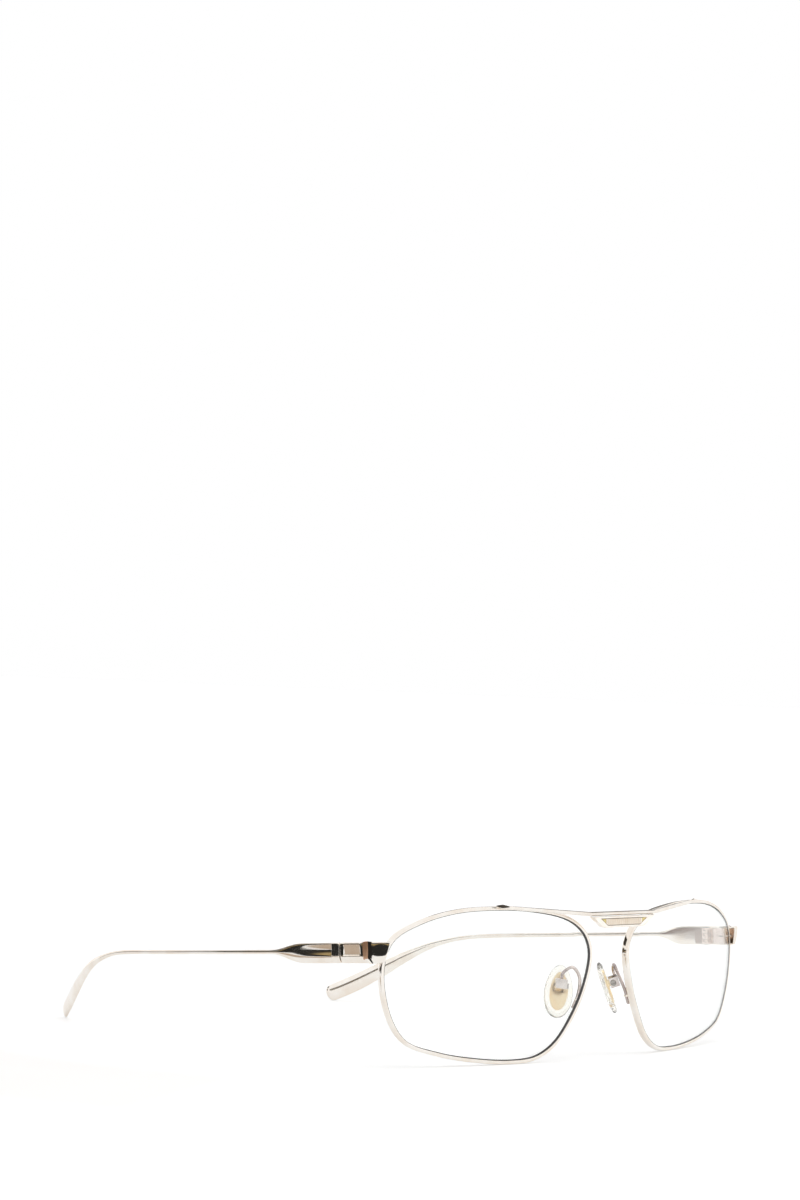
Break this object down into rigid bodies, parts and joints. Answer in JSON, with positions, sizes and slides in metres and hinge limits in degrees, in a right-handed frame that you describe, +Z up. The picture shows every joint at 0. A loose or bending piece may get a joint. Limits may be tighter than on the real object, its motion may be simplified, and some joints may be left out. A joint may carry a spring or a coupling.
{
  "type": "spectacles",
  "caption": "Metal spectacle frame with a straight brow bar, clear lenses, rocking nose pads and folding wire temples that end in flat paddle tips.",
  "frame": {"origin": "bottom centre of the bounding box, at the level the frame stands on", "axes": "+X to the wearer's left, +Y from the lenses back to the temple tips, +Z up"},
  "size_m": [0.1504, 0.1382, 0.0373],
  "materials": {
    "champagne_gold": "polished champagne-gold plating on nickel silver",
    "rose_steel": "polished rose-tinted plating on steel",
    "gilt": "polished gilt brass",
    "screw_steel": "turned steel",
    "clear_lens": "clear polished lens plastic",
    "silicone": "clear soft silicone"
  },
  "bodies": {
    "front": {"brow_bar": "champagne_gold", "bridge_plate": "champagne_gold", "plate_inlay": "gilt", "rim_left": "champagne_gold", "rim_right": "champagne_gold", "lens_left": "clear_lens", "lens_right": "clear_lens", "endpiece_left": "champagne_gold", "endpiece_right": "champagne_gold", "rim_lock_upper_left": "rose_steel", "rim_lock_upper_right": "rose_steel", "rim_lock_lower_left": "rose_steel", "rim_lock_lower_right": "rose_steel", "rim_lock_screw_left": "screw_steel", "rim_lock_screw_right": "screw_steel", "front_hinge_leaf_left": "rose_steel", "front_hinge_leaf_right": "rose_steel", "hinge_screw_left": "screw_steel", "hinge_screw_right": "screw_steel", "pad_arm_left": "rose_steel", "pad_arm_right": "rose_steel", "pad_box_left": "rose_steel", "pad_box_right": "rose_steel", "pad_screw_left": "screw_steel", "pad_screw_right": "screw_steel"},
    "temple_left": {"temple_left": "champagne_gold", "temple_hinge_leaf_left": "rose_steel"},
    "pad_left": {"nose_pad_left": "silicone", "pad_insert_left": "gilt"},
    "temple_right": {"temple_right": "champagne_gold", "temple_hinge_leaf_right": "rose_steel"},
    "pad_right": {"nose_pad_right": "silicone", "pad_insert_right": "gilt"}
  },
  "joints": [
    {"name": "temple_left_fold", "type": "hinge", "parent": "front", "child": "temple_left", "pos_m": [0.07021, -0.04258, 0.02558], "axis": [0.0216, 0.0756, 0.9969], "range_deg": [0, 84]},
    {"name": "temple_right_fold", "type": "hinge", "parent": "front", "child": "temple_right", "pos_m": [-0.07021, -0.04258, 0.02558], "axis": [0.0216, -0.0756, -0.9969], "range_deg": [0, 80]},
    {"name": "pad_left_rock", "type": "hinge", "parent": "front", "child": "pad_left", "pos_m": [0.01071, -0.05822, 0.01743], "axis": [0.7194, 0.6823, 0.1299], "range_deg": [-12, 12]},
    {"name": "pad_right_rock", "type": "hinge", "parent": "front", "child": "pad_right", "pos_m": [-0.01071, -0.05822, 0.01743], "axis": [-0.7194, 0.6823, 0.1299], "range_deg": [-12, 12]}
  ]
}
